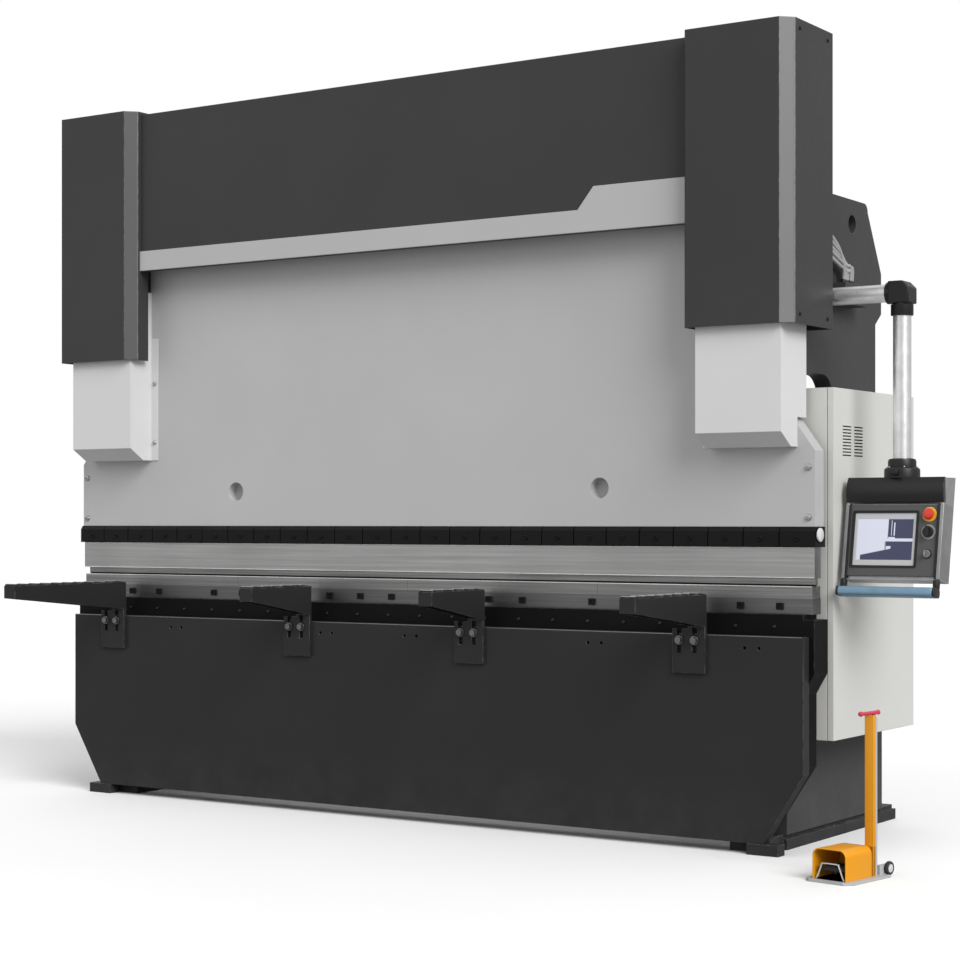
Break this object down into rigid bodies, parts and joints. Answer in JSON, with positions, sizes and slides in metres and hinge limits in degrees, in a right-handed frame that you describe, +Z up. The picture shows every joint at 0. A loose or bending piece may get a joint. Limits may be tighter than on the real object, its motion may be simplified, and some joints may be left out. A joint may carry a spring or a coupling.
{
  "type": "press brake",
  "caption": "Hydraulic sheet metal press brake with ram, bed, tooling, back gauge, sheet supports, swivelling console and foot pedal.",
  "frame": {"origin": "centre of the four floor anchor holes, at floor level", "axes": "+X to the operator's right along the ram, +Y to the rear, +Z up"},
  "size_m": [3.563, 1.63, 2.65],
  "materials": {
    "frame_paint": "satin dark grey powder coat",
    "cover_paint": "satin anthracite powder coat",
    "bed_paint": "satin charcoal paint",
    "arm_paint": "satin charcoal paint",
    "ram_paint": "smooth light grey paint",
    "shroud_paint": "smooth off-white paint",
    "cabinet_paint": "fine textured warm white paint",
    "tool_steel": "ground lengthwise",
    "black_steel": "blackened",
    "machined_steel": "machined",
    "hard_chrome": "ground and plated",
    "light_alloy": "satin",
    "tank_paint": "satin",
    "motor_paint": "satin",
    "pipe_steel": "drawn",
    "gear_plastic": "moulded",
    "cable_jacket": "smooth jacket",
    "console_black": "fine texture",
    "console_grey": "satin",
    "screen": "flat display glass",
    "handle_blue": "anodised",
    "stop_yellow": "moulded",
    "stop_red": "moulded",
    "key_metal": "polished",
    "cart_steel": "satin grey",
    "cart_yellow": "gloss safety yellow",
    "cart_red": "moulded",
    "wheel_rubber": "moulded"
  },
  "bodies": {
    "frame": {"side_frame_left": "frame_paint", "side_frame_right": "frame_paint", "sole_feet": "bed_paint", "bed_plate": "bed_paint", "apron_plate": "bed_paint", "die_rail": "tool_steel", "rail_clamps": "black_steel", "dies": "tool_steel", "tie_beams": "frame_paint", "cylinder_barrels": "hard_chrome", "cover_left": "cover_paint", "cover_right": "cover_paint", "fascia": "frame_paint", "trim_strip": "ram_paint", "oil_tank": "tank_paint", "tank_lid": "tank_paint", "pump_motor": "motor_paint", "valve_blocks": "light_alloy", "hydraulic_pipes": "pipe_steel", "cabinet_shell": "cabinet_paint", "cabinet_cover": "cabinet_paint", "control_gear": "gear_plastic", "cable_bundle": "cable_jacket", "cable_box": "frame_paint", "pendant_arm": "light_alloy", "arm_bolts": "machined_steel", "gauge_arms": "frame_paint", "guide_shoes": "machined_steel"},
    "ram": {"ram_plate": "ram_paint", "upper_clamps": "black_steel", "punch_holder": "tool_steel", "punch": "tool_steel", "piston_rods": "hard_chrome", "shroud_left": "shroud_paint", "shroud_right": "shroud_paint", "ram_rails": "machined_steel"},
    "pendant": {"drop_tube": "light_alloy", "console_case": "console_black", "console_bezel": "console_grey", "console_screen": "screen", "console_handle": "handle_blue", "stop_ring": "stop_yellow"},
    "stop": {"stop_button": "stop_red"},
    "dial": {"dial_knob": "console_black"},
    "key": {"key_switch": "key_metal"},
    "carriage": {"gauge_carriage": "machined_steel"},
    "lift_beam": {"gauge_beam": "light_alloy"},
    "left_finger": {"finger_left": "machined_steel"},
    "right_finger": {"finger_right": "machined_steel"},
    "arm_1": {"support_arm_1": "arm_paint"},
    "arm_2": {"support_arm_2": "arm_paint"},
    "arm_3": {"support_arm_3": "arm_paint"},
    "arm_4": {"support_arm_4": "arm_paint"},
    "cart": {"cart_base": "cart_steel", "cart_column": "cart_yellow", "pedal_hood": "cart_yellow", "cart_handle": "cart_red"},
    "pedal": {"foot_pedal": "console_black"},
    "wheels": {"cart_wheels": "wheel_rubber"}
  },
  "joints": [
    {"name": "ram_slide", "type": "slide", "parent": "frame", "child": "ram", "axis": [0, 0, 1], "range_m": [0, 0.17]},
    {"name": "pendant_swivel", "type": "hinge", "parent": "frame", "child": "pendant", "pos_m": [1.8, -0.25, 1.7], "axis": [0, 0, 1], "range_deg": [-5, 120]},
    {"name": "stop_press", "type": "slide", "parent": "pendant", "child": "stop", "axis": [0, 0.9848, -0.1736], "range_m": [0, 0.005]},
    {"name": "dial_turn", "type": "hinge", "parent": "pendant", "child": "dial", "pos_m": [1.919, -0.32494, 1.03341], "axis": [0, -0.9848, 0.1736], "range_deg": [-140, 140]},
    {"name": "key_turn", "type": "hinge", "parent": "pendant", "child": "key", "pos_m": [1.919, -0.33709, 0.96447], "axis": [0, -0.9848, 0.1736], "range_deg": [-90, 0]},
    {"name": "gauge_depth", "type": "slide", "parent": "frame", "child": "carriage", "axis": [0, 1, 0], "range_m": [-0.09, 0.28]},
    {"name": "gauge_height", "type": "slide", "parent": "carriage", "child": "lift_beam", "axis": [0, 0, 1], "range_m": [-0.02, 0.05]},
    {"name": "left_finger_slide", "type": "slide", "parent": "lift_beam", "child": "left_finger", "axis": [1, 0, 0], "range_m": [-0.35, 0.4]},
    {"name": "right_finger_slide", "type": "slide", "parent": "lift_beam", "child": "right_finger", "axis": [1, 0, 0], "range_m": [-0.4, 0.35]},
    {"name": "arm_1_height", "type": "slide", "parent": "frame", "child": "arm_1", "axis": [0, 0, 1], "range_m": [-0.025, 0.03]},
    {"name": "arm_2_height", "type": "slide", "parent": "frame", "child": "arm_2", "axis": [0, 0, 1], "range_m": [-0.025, 0.03]},
    {"name": "arm_3_height", "type": "slide", "parent": "frame", "child": "arm_3", "axis": [0, 0, 1], "range_m": [-0.025, 0.03]},
    {"name": "arm_4_height", "type": "slide", "parent": "frame", "child": "arm_4", "axis": [0, 0, 1], "range_m": [-0.025, 0.03]},
    {"name": "cart_roll", "type": "slide", "parent": "frame", "child": "cart", "axis": [-0.1564, -0.9877, 0], "range_m": [-0.02, 0.6]},
    {"name": "pedal_press", "type": "hinge", "parent": "cart", "child": "pedal", "pos_m": [1.84799, -0.75681, 0.032], "axis": [0.9877, -0.1564, 0], "range_deg": [0, 9], "stiffness_Nm_per_rad": 20, "springref_deg": -8.59},
    {"name": "wheels_turn", "type": "hinge", "parent": "cart", "child": "wheels", "pos_m": [1.86473, -0.65113, 0.024], "axis": [0.9877, -0.1564, 0], "continuous": true}
  ]
}
